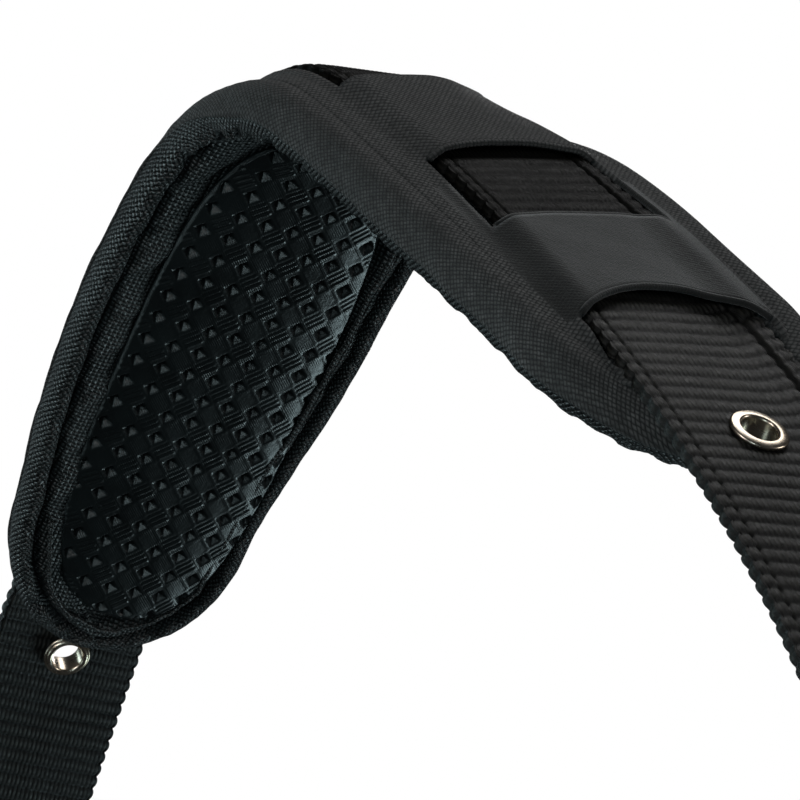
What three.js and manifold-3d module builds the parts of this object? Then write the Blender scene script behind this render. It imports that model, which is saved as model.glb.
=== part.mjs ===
// Padded neck strap of a martingale: a ribbed webbing strap threaded through the outer side
// of an anti-slip pad that folds over the neck, with an eyelet, a sewn loop and a D ring on
// each leg.  Millimetres, +Z up, origin on the underside of the pad at the top of the fold.
import * as THREE from "three";
import { mergeVertices } from "three/addons/utils/BufferGeometryUtils.js";
import Module from "manifold-3d";

// ---------------------------------------------------------------- driving dimensions
// Webbing: one-inch ribbed webbing.
const WEBBING_WIDTH = 25;
const WEBBING_THICKNESS = 2;
const WEBBING_HALF_LENGTH = 180; // from the webbing's middle to the end of its sewn loop
const WEBBING_SLIP = 1.5;        // the webbing's middle has slid this far towards the far leg
const NEAR_DRIFT = 2.5;          // sideways drift of the webbing where it leaves the pad
const FAR_DRIFT = 1.8;
const NEAR_DRIFT_SLOPE = 0.047;  // and its sideways run beyond the pad, per millimetre
const FAR_DRIFT_SLOPE = 0.10;

// How the strap is bent from a flat strip.
const FOLD_AT = -7;              // where it folds over the neck, from the pad's middle
const CROWN_FOLD = 1.29;         // radians turned by the sharp part of the fold
const CROWN_SPREAD = 13.3;       // length over which the sharp part is spread
const LEG_CURVE = 0.0013;        // radians per millimetre everywhere
const CROWN_TWIST = 0.35;        // radians of twist taken up in the fold
const CROWN_SWEEP = -0.25;       // radians of sideways turn taken up in the fold
const NEAR_SWEEP = 0.003;        // sideways turn of the near half, radians per millimetre
const PATH_STEP = 2.5;
const PATH_REACH = 240;

// Pad, measured along (s), across (x) and out of (n) the strap's middle surface.
const PAD_HALF_LENGTH = 106;
const PAD_HALF_WIDTH = 23.5;
const PAD_END_HALF_WIDTH = 20.5;
const PAD_TAPER_START = 40;
const PAD_ROUND_START = 82;
const PAD_END_FLAT = 3;
const PAD_END_SHIFT = 2.4;       // the rounded ends sit this far to one side
const GAP = 0.3;                 // running gap kept between neighbouring pieces
const LAYER_GAP = 0.4;           // the same between the pad's layers, which twist together
const COVER_THICKNESS = 1.1;
const FOAM_THICKNESS = 4.4;
const LINING_THICKNESS = 0.9;
const PATCH_THICKNESS = 1.3;
const ROLL_WIDTH = 5;            // binding rolled round the pad's edge

const COVER_TOP = -WEBBING_THICKNESS / 2 - GAP;
const COVER_BOTTOM = COVER_TOP - COVER_THICKNESS;
const FOAM_TOP = COVER_BOTTOM - LAYER_GAP;
const FOAM_BOTTOM = FOAM_TOP - FOAM_THICKNESS;
const LINING_TOP = FOAM_BOTTOM - LAYER_GAP;
const LINING_BOTTOM = LINING_TOP - LINING_THICKNESS;
const PATCH_TOP = LINING_BOTTOM - LAYER_GAP;
const PATCH_BOTTOM = PATCH_TOP - PATCH_THICKNESS;

// Grip patches, one on each half of the inner face.
const PATCH_HALF_WIDTH = 15.5;
const PATCH_FROM = 4;
const PATCH_TO = 96;
const PATCH_CORNER = 14;
const PATCH_SLANT = 0.04;        // sideways run of a patch along the pad

// Bridges that hold the webbing to the pad, from and to along the strap.
const BRIDGE_THICKNESS = 1.2;
const BRIDGE_HALF_WIDTH = 19;
const CHANNEL_HALF_WIDTH = 15;
const INNER_BRIDGE = [20, 41];   // from and to, on each half
const END_BRIDGE = [60, 80];

// Eyelets.
const EYELET_AT = 110.5;         // from the webbing's middle
const EYELET_HOLE_RADIUS = 2.5;
const EYELET_BARREL_RADIUS = 3.0;
const EYELET_FLANGE_RADIUS = 4.0;
const EYELET_WASHER_RADIUS = 3.8;
const EYELET_FLANGE_THICKNESS = 0.8;

// Sewn loop and D ring at the end of each leg.
const LOOP_LENGTH = 20;
const LOOP_BORE_RADIUS = 2.3;
const LOOP_WALL = 2;
const RING_WIRE_RADIUS = 1.8;
const RING_HALF_WIDTH = 15.3;    // to the middle of the wire
const RING_DEPTH = 19;

// ---------------------------------------------------------------- the bent strap
// Frames along the strap: x across it, y along it towards the far leg, z out of it.
function turnBetween(s) {
  const bump = Math.exp(-(((s - FOLD_AT) / CROWN_SPREAD) ** 2)) / (Math.sqrt(Math.PI) * CROWN_SPREAD);
  const fold = LEG_CURVE + CROWN_FOLD * bump;
  const twist = CROWN_TWIST * bump;
  const sweep = (s < 0 ? NEAR_SWEEP : 0) + CROWN_SWEEP * bump;
  const turn = new THREE.Vector3(-fold, twist, sweep).multiplyScalar(PATH_STEP);
  return new THREE.Quaternion().setFromAxisAngle(turn.clone().normalize(), turn.length());
}

function walk(direction) {
  const frames = [{ point: new THREE.Vector3(), turn: new THREE.Quaternion() }];
  for (let i = 0; i < PATH_REACH / PATH_STEP; i += 1) {
    const last = frames[i];
    const step = turnBetween(direction * (i + 0.5) * PATH_STEP);
    if (direction < 0) step.invert();
    const turn = last.turn.clone().multiply(step);
    const along = new THREE.Vector3(0, direction * PATH_STEP / 2, 0);
    const point = last.point.clone()
      .add(along.clone().applyQuaternion(last.turn))
      .add(along.clone().applyQuaternion(turn));
    frames.push({ point, turn });
  }
  return frames;
}

const farFrames = walk(1);
const nearFrames = walk(-1);

// The strap hangs from its fold with both legs equally steep.
function hangingTurn() {
  const reach = PAD_HALF_LENGTH / PATH_STEP;
  const index = Math.round(reach);
  const farLeg = new THREE.Vector3(0, 1, 0).applyQuaternion(farFrames[index].turn);
  const nearLeg = new THREE.Vector3(0, -1, 0).applyQuaternion(nearFrames[index].turn);
  const up = farLeg.clone().add(nearLeg).normalize().negate();
  const along = farLeg.clone().sub(nearLeg).normalize();
  const across = along.clone().cross(up).normalize();
  const basis = new THREE.Matrix4().makeBasis(across, along, up);
  return new THREE.Quaternion().setFromRotationMatrix(basis).invert();
}

const hang = hangingTurn();
let origin = new THREE.Vector3();

// A point of the flat strip (s along, x across, n out of the strip) on the hanging strap.
function place(s, x, n) {
  const frames = s < 0 ? nearFrames : farFrames;
  const steps = Math.min(Math.abs(s) / PATH_STEP, frames.length - 1.001);
  const index = Math.floor(steps);
  const offset = new THREE.Vector3(x, 0, n);
  const before = offset.clone().applyQuaternion(frames[index].turn).add(frames[index].point);
  const after = offset.clone().applyQuaternion(frames[index + 1].turn);
  after.add(frames[index + 1].point);
  return before.lerp(after, steps - index).applyQuaternion(hang).sub(origin);
}

origin = place(FOLD_AT, 0, LINING_BOTTOM);

// The webbing's middle line drifts sideways towards the ends of the pad, and runs straight
// on past them.
function webbingCentre(s) {
  const drift = s < 0 ? NEAR_DRIFT : FAR_DRIFT;
  const slope = s < 0 ? NEAR_DRIFT_SLOPE : FAR_DRIFT_SLOPE;
  const reach = Math.abs(s);
  const share = Math.min(reach / PAD_HALF_LENGTH, 1);
  return drift * share ** 2 + slope * Math.max(reach - PAD_HALF_LENGTH, 0);
}

// Puts an object on the webbing at s, turned with it: x across, y along, z out of it.
function seatOnWebbing(object, s, n = 0) {
  const centre = place(s, webbingCentre(s), n);
  const along = place(s + 1, webbingCentre(s + 1), n).sub(centre);
  const out = place(s, webbingCentre(s), n + 1).sub(centre).normalize();
  const across = along.cross(out).normalize();
  const basis = new THREE.Matrix4().makeBasis(across, out.clone().cross(across), out);
  object.quaternion.setFromRotationMatrix(basis);
  object.position.copy(centre);
  return object;
}

// ---------------------------------------------------------------- shape helpers
const { smoothstep, lerp } = THREE.MathUtils;

function padHalfWidth(s, inset = 0) {
  const reach = Math.abs(s);
  const taper = smoothstep(reach, PAD_TAPER_START, PAD_ROUND_START);
  const width = lerp(PAD_HALF_WIDTH, PAD_END_HALF_WIDTH, taper) - inset;
  const end = PAD_HALF_LENGTH - inset;
  const round = THREE.MathUtils.clamp((reach - PAD_ROUND_START) / (end - PAD_ROUND_START), 0, 1);
  return width * Math.sqrt(1 - round ** 2);
}

// The pad's middle line swings to one side towards its rounded ends.
function padCentre(s) {
  return PAD_END_SHIFT * smoothstep(Math.abs(s), 64, 98);
}

// A closed section (x, n) carried along the strip from s = from to s = to.
// halfWidth(s) scales the section's x, which runs from -1 to 1.
function bentSlab({ section, from, to, steps, halfWidth, centre, stationAt = (t) => t }) {
  const shape = new THREE.Shape(section.map(([x, n]) => new THREE.Vector2(x, n)));
  const options = { depth: 1, steps, bevelEnabled: false };
  const geometry = new THREE.ExtrudeGeometry(shape, options);
  const position = geometry.getAttribute("position");
  for (let i = 0; i < position.count; i += 1) {
    const s = lerp(to, from, stationAt(position.getZ(i)));
    const middle = centre ? centre(s) : 0;
    const point = place(s, middle + position.getX(i) * halfWidth(s), position.getY(i));
    position.setXYZ(i, point.x, point.y, point.z);
  }
  return plain(geometry);
}

// A flat section of a slab, with its faces split into equal parts across.
function slabSection(top, bottom, parts) {
  const across = Array.from({ length: parts + 1 }, (_, i) => (2 * i) / parts - 1);
  return [...across.map((x) => [x, bottom]), ...across.map((x) => [-x, top])];
}

function plain(geometry) {
  geometry.deleteAttribute("normal");
  geometry.deleteAttribute("uv");
  const merged = mergeVertices(geometry, 1e-4);
  merged.computeVertexNormals();
  return merged;
}

// Stations crowded towards the round ends, from t = 0 to t = 1.
const crowdEnds = (t) => {
  const edge = 0.1;
  const low = Math.min(t, 1 - t);
  const share = low < edge ? 0.5 * low * low / edge : low - edge / 2;
  const placed = share / (1 - edge);
  return t < 0.5 ? placed : 1 - placed;
};

const wasm = await Module();
wasm.setup();

function toSolid(geometry) {
  const merged = plain(geometry.clone());
  return new wasm.Manifold(new wasm.Mesh({
    numProp: 3,
    vertProperties: new Float32Array(merged.getAttribute("position").array),
    triVerts: new Uint32Array(merged.index.array),
  }));
}

function fromSolid(solid) {
  const mesh = solid.getMesh();
  const geometry = new THREE.BufferGeometry();
  geometry.setAttribute("position", new THREE.BufferAttribute(mesh.vertProperties, 3));
  geometry.setIndex(new THREE.BufferAttribute(mesh.triVerts, 1));
  geometry.computeVertexNormals();
  return geometry;
}

function seatedOnWebbing(geometry, s) {
  const holder = seatOnWebbing(new THREE.Object3D(), s);
  holder.updateMatrix();
  return geometry.clone().applyMatrix4(holder.matrix);
}

const group = new THREE.Group();

function addPiece(name, geometry, color, roughness, metalness = 0) {
  const material = new THREE.MeshStandardMaterial({ color, roughness, metalness });
  const mesh = new THREE.Mesh(geometry, material);
  mesh.name = name;
  group.add(mesh);
  return mesh;
}

const FABRIC = 0x2d2d2d;
const WEAVE = 0x161a1a;
const RUBBER = 0x11161a;
const WEBBING = 0x1c1b1a;
const NICKEL = 0xc8beaa;
const STEEL = 0xb4b2ac;

// ---------------------------------------------------------------- pad
const PAD_STEPS = 54;

function padLayer(top, bottom, inset) {
  return bentSlab({
    section: slabSection(top, bottom, 4),
    from: -(PAD_HALF_LENGTH - inset),
    to: PAD_HALF_LENGTH - inset,
    steps: PAD_STEPS,
    halfWidth: (s) => Math.max(padHalfWidth(s, inset), PAD_END_FLAT),
    centre: padCentre,
    stationAt: crowdEnds,
  });
}

const layerInset = ROLL_WIDTH + 3 * GAP;
addPiece("outer_cover", padLayer(COVER_TOP, COVER_BOTTOM, layerInset), FABRIC, 0.95);
addPiece("foam_core", padLayer(FOAM_TOP, FOAM_BOTTOM, layerInset), 0x3a3a3a, 1);
addPiece("inner_lining", padLayer(LINING_TOP, LINING_BOTTOM, layerInset), WEAVE, 0.8);

// Edge binding: a band that follows the pad's outline, rolled round its edge.
function padOutline(inset, count) {
  const points = [];
  for (let i = 0; i < count; i += 1) {
    const angle = (i / count) * 2 * Math.PI;
    const end = PAD_HALF_LENGTH - inset;
    const s = end * Math.sin(angle) * (1.12 - 0.12 * Math.sin(angle) ** 2);
    const reach = THREE.MathUtils.clamp(s, -end, end);
    const x = Math.sign(Math.cos(angle)) * padHalfWidth(reach, inset);
    points.push([reach, x + padCentre(reach)]);
  }
  return points;
}

function edgeBinding() {
  const count = 84;
  const rim = padOutline(0, count);
  const inner = padOutline(ROLL_WIDTH, count);
  const middle = (COVER_TOP + LINING_BOTTOM) / 2;
  const half = (COVER_TOP - LINING_BOTTOM) / 2;
  // Section of the roll: share towards the inner line, height above the middle.
  const section = [
    [1, half * 0.9],
    [0.55, half],
    [0.15, half * 0.7],
    [0, 0],
    [0.15, -half * 0.7],
    [0.55, -half],
    [1, -half * 0.9],
  ];
  const vertices = [];
  const triangles = [];
  const size = section.length;
  for (let i = 0; i < count; i += 1) {
    for (const [share, height] of section) {
      const s = lerp(rim[i][0], inner[i][0], share);
      const x = lerp(rim[i][1], inner[i][1], share);
      vertices.push(...place(s, x, middle + height));
    }
    const next = (i + 1) % count;
    for (let j = 0; j < size; j += 1) {
      const k = (j + 1) % size;
      const a = i * size + j;
      const b = i * size + k;
      const c = next * size + k;
      const d = next * size + j;
      triangles.push(a, b, c, a, c, d);
    }
  }
  const geometry = new THREE.BufferGeometry();
  geometry.setAttribute("position", new THREE.Float32BufferAttribute(vertices, 3));
  geometry.setIndex(triangles);
  geometry.computeVertexNormals();
  return geometry;
}

addPiece("edge_binding", edgeBinding(), 0x202424, 0.85);

// Grip patches.
function gripPatch(direction) {
  const halfWidth = (s) => {
    const reach = Math.abs(s);
    const toEnd = Math.min(reach - PATCH_FROM, PATCH_TO - reach);
    const corner = THREE.MathUtils.clamp(1 - toEnd / PATCH_CORNER, 0, 1);
    return PATCH_HALF_WIDTH - PATCH_CORNER * (1 - Math.sqrt(1 - corner ** 2));
  };
  const near = direction < 0;
  return bentSlab({
    section: slabSection(PATCH_TOP, PATCH_BOTTOM, 4),
    from: near ? -PATCH_TO : PATCH_FROM,
    to: near ? -PATCH_FROM : PATCH_TO,
    steps: 26,
    halfWidth,
    centre: (s) => PATCH_SLANT * (Math.abs(s) - PATCH_FROM) - 0.5,
    stationAt: crowdEnds,
  });
}

addPiece("far_grip_patch", gripPatch(1), RUBBER, 0.55);
addPiece("near_grip_patch", gripPatch(-1), RUBBER, 0.55);

// Bridges: the cover rises over the webbing and is sewn down beside it.
function bridge([from, to], steps) {
  const top = WEBBING_THICKNESS / 2 + GAP;
  const foot = COVER_TOP + GAP;
  const run = CHANNEL_HALF_WIDTH + 2;
  const outline = [
    [-BRIDGE_HALF_WIDTH, foot],
    [-run, foot],
    [-CHANNEL_HALF_WIDTH, top],
    [0, top],
    [CHANNEL_HALF_WIDTH, top],
    [run, foot],
    [BRIDGE_HALF_WIDTH, foot],
  ];
  const over = outline.map(([x, n]) => [x, n + BRIDGE_THICKNESS]).reverse();
  const section = [...outline, ...over].map(([x, n]) => [x / BRIDGE_HALF_WIDTH, n]);
  return bentSlab({ section, from, to, steps, halfWidth: () => BRIDGE_HALF_WIDTH });
}

const mirrored = ([from, to]) => [-to, -from];

addPiece("near_inner_bridge", bridge(mirrored(INNER_BRIDGE), 9), FABRIC, 0.95);
addPiece("far_inner_bridge", bridge(INNER_BRIDGE, 9), FABRIC, 0.95);
addPiece("near_end_bridge", bridge(mirrored(END_BRIDGE), 5), FABRIC, 0.95);
addPiece("far_end_bridge", bridge(END_BRIDGE, 5), FABRIC, 0.95);

// ---------------------------------------------------------------- webbing
const HINGE_AT = END_BRIDGE[1] + 2;      // where a leg starts to flex out of its slot
const HINGE_GAP = 1;

function webbingSlab(from, to, steps) {
  const section = slabSection(WEBBING_THICKNESS / 2, -WEBBING_THICKNESS / 2, 2);
  const halfWidth = () => WEBBING_WIDTH / 2;
  return bentSlab({ section, from, to, steps, halfWidth, centre: webbingCentre });
}

const threaded = webbingSlab(-HINGE_AT + HINGE_GAP, HINGE_AT - HINGE_GAP, 44);
addPiece("threaded_webbing", threaded, WEBBING, 0.8);

// The strap end is folded back round the ring's bar and sewn to itself.
const LOOP_RADIUS = LOOP_BORE_RADIUS + LOOP_WALL;

const alongWebbing = (side, reach) => side * reach + WEBBING_SLIP;

function loopAt(side) {
  return alongWebbing(side, WEBBING_HALF_LENGTH - LOOP_RADIUS);
}

function sewnLoop(side) {
  const half = WEBBING_THICKNESS / 2;
  const shape = new THREE.Shape();
  shape.moveTo(-LOOP_LENGTH, -half);
  shape.lineTo(-LOOP_RADIUS, -half);
  shape.absarc(0, LOOP_RADIUS - half, LOOP_RADIUS, -Math.PI / 2, Math.PI / 2, false);
  shape.lineTo(-LOOP_RADIUS * 1.2, 2 * LOOP_RADIUS - half);
  shape.lineTo(-LOOP_RADIUS * 2.4, 2 * WEBBING_THICKNESS - half);
  shape.lineTo(-LOOP_LENGTH, 2 * WEBBING_THICKNESS - half);
  shape.closePath();
  const bore = new THREE.Path();
  bore.absarc(0, LOOP_RADIUS - half, LOOP_BORE_RADIUS, 0, 2 * Math.PI, true);
  shape.holes.push(bore);
  const options = { depth: WEBBING_WIDTH, bevelEnabled: false, curveSegments: 16 };
  const geometry = new THREE.ExtrudeGeometry(shape, options);
  geometry.translate(0, 0, -WEBBING_WIDTH / 2);
  // Shape x runs down the leg, shape y outwards, depth across.
  const down = new THREE.Vector3(0, side, 0);
  const out = new THREE.Vector3(0, 0, 1);
  const across = down.clone().cross(out);
  geometry.applyMatrix4(new THREE.Matrix4().makeBasis(down, out, across));
  return seatedOnWebbing(geometry, loopAt(side));
}

function legWebbing(side) {
  const end = loopAt(side) - side * (LOOP_LENGTH - 1);
  const [from, to] = side > 0 ? [HINGE_AT, end] : [end, -HINGE_AT];
  const strip = toSolid(webbingSlab(from, to, 28));
  const punch = new THREE.CylinderGeometry(
    EYELET_BARREL_RADIUS + GAP, EYELET_BARREL_RADIUS + GAP, 4 * WEBBING_THICKNESS, 20);
  punch.rotateX(Math.PI / 2);
  const hole = toSolid(seatedOnWebbing(punch, alongWebbing(side, EYELET_AT)));
  return fromSolid(strip.add(toSolid(sewnLoop(side))).subtract(hole));
}

// Eyelet: flange and barrel from the outside, washer and rolled lip on the inside.
function eyelet() {
  const top = WEBBING_THICKNESS / 2 + GAP;
  const flangeTop = top + EYELET_FLANGE_THICKNESS;
  const barrelEnd = -WEBBING_THICKNESS / 2 - GAP - 1.2;
  const profile = [
    [EYELET_HOLE_RADIUS, barrelEnd],
    [EYELET_BARREL_RADIUS, barrelEnd],
    [EYELET_BARREL_RADIUS, top],
    [EYELET_FLANGE_RADIUS, top],
    [EYELET_FLANGE_RADIUS, flangeTop - 0.2],
    [EYELET_FLANGE_RADIUS - 0.3, flangeTop],
    [EYELET_HOLE_RADIUS + 0.3, flangeTop],
    [EYELET_HOLE_RADIUS, flangeTop - 0.3],
    [EYELET_HOLE_RADIUS, barrelEnd],
  ];
  return lathe(profile, 28);
}

function eyeletWasher() {
  const top = -WEBBING_THICKNESS / 2 - GAP;
  const bottom = top - 0.7;
  const inner = EYELET_BARREL_RADIUS + GAP;
  const profile = [
    [inner, bottom],
    [EYELET_WASHER_RADIUS, bottom],
    [EYELET_WASHER_RADIUS, top],
    [inner, top],
    [inner, bottom],
  ];
  return lathe(profile, 28);
}

function lathe(profile, segments) {
  const points = profile.map(([r, h]) => new THREE.Vector2(r, h));
  const geometry = new THREE.LatheGeometry(points, segments);
  geometry.rotateX(Math.PI / 2);
  return plain(geometry);
}

// D ring: a straight bar through the loop and a bow below it.
function dRing() {
  const wire = RING_WIRE_RADIUS;
  const bar = new THREE.CylinderGeometry(wire, wire, 2 * RING_HALF_WIDTH, 14);
  bar.rotateZ(Math.PI / 2);
  const corner = RING_HALF_WIDTH;
  const curve = new THREE.CubicBezierCurve3(
    new THREE.Vector3(-corner, 0, 0),
    new THREE.Vector3(-corner, 0, -RING_DEPTH * 4 / 3),
    new THREE.Vector3(corner, 0, -RING_DEPTH * 4 / 3),
    new THREE.Vector3(corner, 0, 0));
  const circle = new THREE.Shape();
  circle.absarc(0, 0, wire, 0, 2 * Math.PI, false);
  const options = { extrudePath: curve, steps: 28, curveSegments: 7, bevelEnabled: false };
  const bow = new THREE.ExtrudeGeometry(circle, options);
  const ball = new THREE.SphereGeometry(wire, 14, 10);
  const solids = [toSolid(bar), toSolid(bow)];
  for (const side of [-1, 1]) {
    solids.push(toSolid(ball.clone().translate(side * corner, 0, 0)));
  }
  return fromSolid(solids.reduce((whole, next) => whole.add(next)));
}

for (const [name, side] of [["far", 1], ["near", -1]]) {
  addPiece(`${name}_leg_webbing`, legWebbing(side), WEBBING, 0.8);
  const eyeletAt = alongWebbing(side, EYELET_AT);
  seatOnWebbing(addPiece(`${name}_eyelet`, eyelet(), NICKEL, 0.25, 1), eyeletAt);
  seatOnWebbing(addPiece(`${name}_eyelet_washer`, eyeletWasher(), NICKEL, 0.25, 1), eyeletAt);
  const ring = addPiece(`${name}_ring`, dRing(), STEEL, 0.3, 1);
  seatOnWebbing(ring, loopAt(side), LOOP_RADIUS - WEBBING_THICKNESS / 2);
  // The ring hangs straight down from its bar.
  const bar = new THREE.Vector3(1, 0, 0).applyQuaternion(ring.quaternion);
  const up = new THREE.Vector3(0, 0, 1).addScaledVector(bar, -bar.z).normalize();
  const along = up.clone().cross(bar);
  ring.quaternion.setFromRotationMatrix(new THREE.Matrix4().makeBasis(bar, along, up));
}

export default group;
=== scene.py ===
"""Looks of the padded strap of a martingale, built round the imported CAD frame.
Shapes are laid out on the flat strap in millimetres (s along it, x across it, n out of it)
and carried onto the hanging strap by place(), which follows the same bend as the CAD."""
import math

import bmesh
import bpy
import numpy as np
from mathutils import Matrix, Vector


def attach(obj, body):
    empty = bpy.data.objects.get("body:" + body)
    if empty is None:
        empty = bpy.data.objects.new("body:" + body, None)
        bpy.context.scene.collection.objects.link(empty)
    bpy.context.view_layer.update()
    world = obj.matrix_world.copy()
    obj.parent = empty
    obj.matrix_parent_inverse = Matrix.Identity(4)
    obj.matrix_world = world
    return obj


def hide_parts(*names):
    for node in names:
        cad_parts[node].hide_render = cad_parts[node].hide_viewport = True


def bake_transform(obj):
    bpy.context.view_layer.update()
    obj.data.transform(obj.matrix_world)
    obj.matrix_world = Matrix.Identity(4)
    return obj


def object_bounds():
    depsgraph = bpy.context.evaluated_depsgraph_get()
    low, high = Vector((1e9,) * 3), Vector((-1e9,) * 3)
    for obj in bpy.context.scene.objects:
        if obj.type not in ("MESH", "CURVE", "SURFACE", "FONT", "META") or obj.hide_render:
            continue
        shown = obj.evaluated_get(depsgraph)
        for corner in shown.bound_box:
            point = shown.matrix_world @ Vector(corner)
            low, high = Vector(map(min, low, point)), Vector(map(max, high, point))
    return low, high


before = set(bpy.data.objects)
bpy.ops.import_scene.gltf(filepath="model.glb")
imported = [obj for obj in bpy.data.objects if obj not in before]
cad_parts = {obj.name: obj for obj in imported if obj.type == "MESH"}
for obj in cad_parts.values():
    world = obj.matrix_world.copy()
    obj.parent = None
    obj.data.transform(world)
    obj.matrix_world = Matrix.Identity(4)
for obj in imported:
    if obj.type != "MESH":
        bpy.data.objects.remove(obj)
CAD_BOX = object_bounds()
MM = 0.001

# ------------------------------------------------------------------ sizes, mm
FOLD_AT, CROWN_FOLD, CROWN_SPREAD = -7, 1.29, 13.3
LEG_CURVE, CROWN_TWIST, CROWN_SWEEP, NEAR_SWEEP = 0.0013, 0.35, -0.25, 0.003
STEP, REACH = 2.5, 240
PAD_HALF_LENGTH, PAD_HALF_WIDTH, PAD_END_HALF_WIDTH = 106, 23.5, 20.5
TAPER_START, ROUND_START = 40, 82
UNDERSIDE = -8.5
WEBBING_WIDTH, WEBBING_THICKNESS = 25, 2
WEBBING_SLIP = 1.5
NEAR_DRIFT, FAR_DRIFT, NEAR_SLOPE, FAR_SLOPE = 2.5, 1.8, 0.047, 0.10
RIB_PITCH, YARN_PITCH, WEAVE_PITCH = 2.5, 0.76, 0.72
EYELET_AT = 110.5
LOOP_CENTRE, LOOP_RADIUS, LOOP_LENGTH = 180 - 4.3, 3.3, 20
WINDOW_HALF_WIDTH = 14.3
INNER_BRIDGE, END_BRIDGE = (20, 41), (60, 79)
PATCH_MIDDLE, PATCH_HALF_LENGTH, PATCH_HALF_WIDTH = 50, 47, 16.2
PIT_PITCH, FINE_LINES = 3.0 * math.sqrt(2), 9
SPLICE_AT = 71                   # the threaded strap meets the legs here, under the end bridges
SEWN_RISE = 2.15                 # from a leg's middle to the middle of the layer sewn on it
RING_HALF_WIDTH, RING_DEPTH, RING_WIRE_RADIUS = 15.3, 19, 1.8
SHOULDER_DROOP, EDGE_LIFT, CROWN_DROOP = 4.0, 4.7, 3.2
FLEX_FROM, FLEX_TO = 79, 87      # a stretch of each leg; its two end points are placed in the assembly
FLOOR_DROP = 0.9                 # metres from the strap's lowest point to the floor


# ------------------------------------------------------------------ the bent strap
def smooth(value, low, high):
    t = np.clip((np.asarray(value, float) - low) / (high - low), 0, 1)
    return t * t * (3 - 2 * t)


def turn_matrix(vector):
    """The rotation about vector by its length, in radians."""
    angle = np.linalg.norm(vector)
    x, y, z = vector / angle
    cross = np.array([[0, -z, y], [z, 0, -x], [-y, x, 0]])
    return np.eye(3) + math.sin(angle) * cross + (1 - math.cos(angle)) * cross @ cross


def walk(direction):
    """Points and frames of half the strap, stepped out from its middle."""
    points, turns = [np.zeros(3)], [np.eye(3)]
    half = np.array([0, direction * STEP / 2, 0])
    for i in range(int(REACH / STEP)):
        s = direction * (i + 0.5) * STEP
        spread = math.exp(-(((s - FOLD_AT) / CROWN_SPREAD) ** 2))
        bump = spread / (math.sqrt(math.pi) * CROWN_SPREAD)
        sweep = (NEAR_SWEEP if s < 0 else 0) + CROWN_SWEEP * bump
        turn = np.array([-(LEG_CURVE + CROWN_FOLD * bump), CROWN_TWIST * bump, sweep])
        step = turn_matrix(turn * STEP)
        after = turns[-1] @ (step if direction > 0 else step.T)
        points.append(points[-1] + turns[-1] @ half + after @ half)
        turns.append(after)
    return np.array(points), np.array(turns)


def hung_path():
    """Both halves joined and turned so that the strap hangs evenly."""
    far, near = walk(1), walk(-1)
    index = round(PAD_HALF_LENGTH / STEP)
    far_leg, near_leg = far[1][index][:, 1], -near[1][index][:, 1]
    up = -(far_leg + near_leg) / np.linalg.norm(far_leg + near_leg)
    along = (far_leg - near_leg) / np.linalg.norm(far_leg - near_leg)
    hang = np.stack([np.cross(along, up), along, up])
    points = np.vstack([near[0][::-1], far[0][1:]]) @ hang.T
    turns = hang @ np.concatenate([near[1][::-1], far[1][1:]])
    return points, turns


PATH, TURNS = hung_path()
ORIGIN = np.zeros(3)


def curl(s, x):
    """How far the real strap's soft edges stand off its smooth bend."""
    droop = -SHOULDER_DROOP * np.exp(-(((s + 22) / 12) ** 2)) * smooth(x, 0, 20)
    lift = EDGE_LIFT * smooth(-s, 30, 84) * (1 - smooth(-s, 125, 160)) * smooth(x, 8, 22)
    crown = -CROWN_DROOP * np.exp(-(((s + 2) / 11) ** 2)) * smooth(-x, 8, 22)
    return droop + lift + crown


def place(s, x, n):
    """Points of the flat strap on the hanging one, in metres."""
    s, x, n = np.broadcast_arrays(*(np.asarray(v, float) for v in (s, x, n)))
    n = n + curl(s, x)
    middle = (len(PATH) - 1) // 2
    at = np.clip(s / STEP + middle, 0, 2 * middle - 1e-9)
    index = at.astype(int)
    share = (at - index)[..., None]

    def between(values):
        return values[index] * (1 - share) + values[index + 1] * share

    across, out = between(TURNS[:, :, 0]), between(TURNS[:, :, 2])
    return (between(PATH) + across * x[..., None] + out * n[..., None]) * MM - ORIGIN


ORIGIN = place(FOLD_AT, 0, UNDERSIDE)


def webbing_centre(s):
    """How far the webbing has drifted sideways."""
    s = np.asarray(s, float)
    reach = np.abs(s)
    share = np.minimum(reach / PAD_HALF_LENGTH, 1)
    drift = np.where(s < 0, NEAR_DRIFT, FAR_DRIFT) * share**2
    slope = np.where(s < 0, NEAR_SLOPE, FAR_SLOPE)
    return drift + slope * np.maximum(reach - PAD_HALF_LENGTH, 0)


def pad_half_width(s):
    reach = np.abs(np.asarray(s, float))
    taper = smooth(reach, TAPER_START, ROUND_START)
    width = PAD_HALF_WIDTH + (PAD_END_HALF_WIDTH - PAD_HALF_WIDTH) * taper
    s = np.asarray(s, float)
    width = width - 0.8 * np.exp(-(((s - 6) / 13) ** 2)) - 0.9 * smooth(s, 64, 86)
    turn = np.clip((reach - ROUND_START) / (PAD_HALF_LENGTH - ROUND_START), 0, 1)
    return width * np.sqrt(1 - turn**2)


def pad_centre(s):
    """The pad's rounded ends sit a little to one side."""
    s = np.asarray(s, float)
    ends = 2.4 * smooth(-s, 64, 98) + 1.9 * smooth(s, 64, 98)
    return ends - 0.5 * np.exp(-(((s - 30) / 20) ** 2))


def wobble(u, seed, scale=1.0):
    """Smooth, repeatable unevenness between about -1 and 1."""
    random = np.random.default_rng(seed)
    total = 0
    for octave in (1, 1.7, 2.9, 4.7):
        phase = random.uniform(0, 2 * math.pi)
        total = total + np.sin(np.asarray(u, float) / scale * octave + phase) / octave
    return total / 1.9


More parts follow.
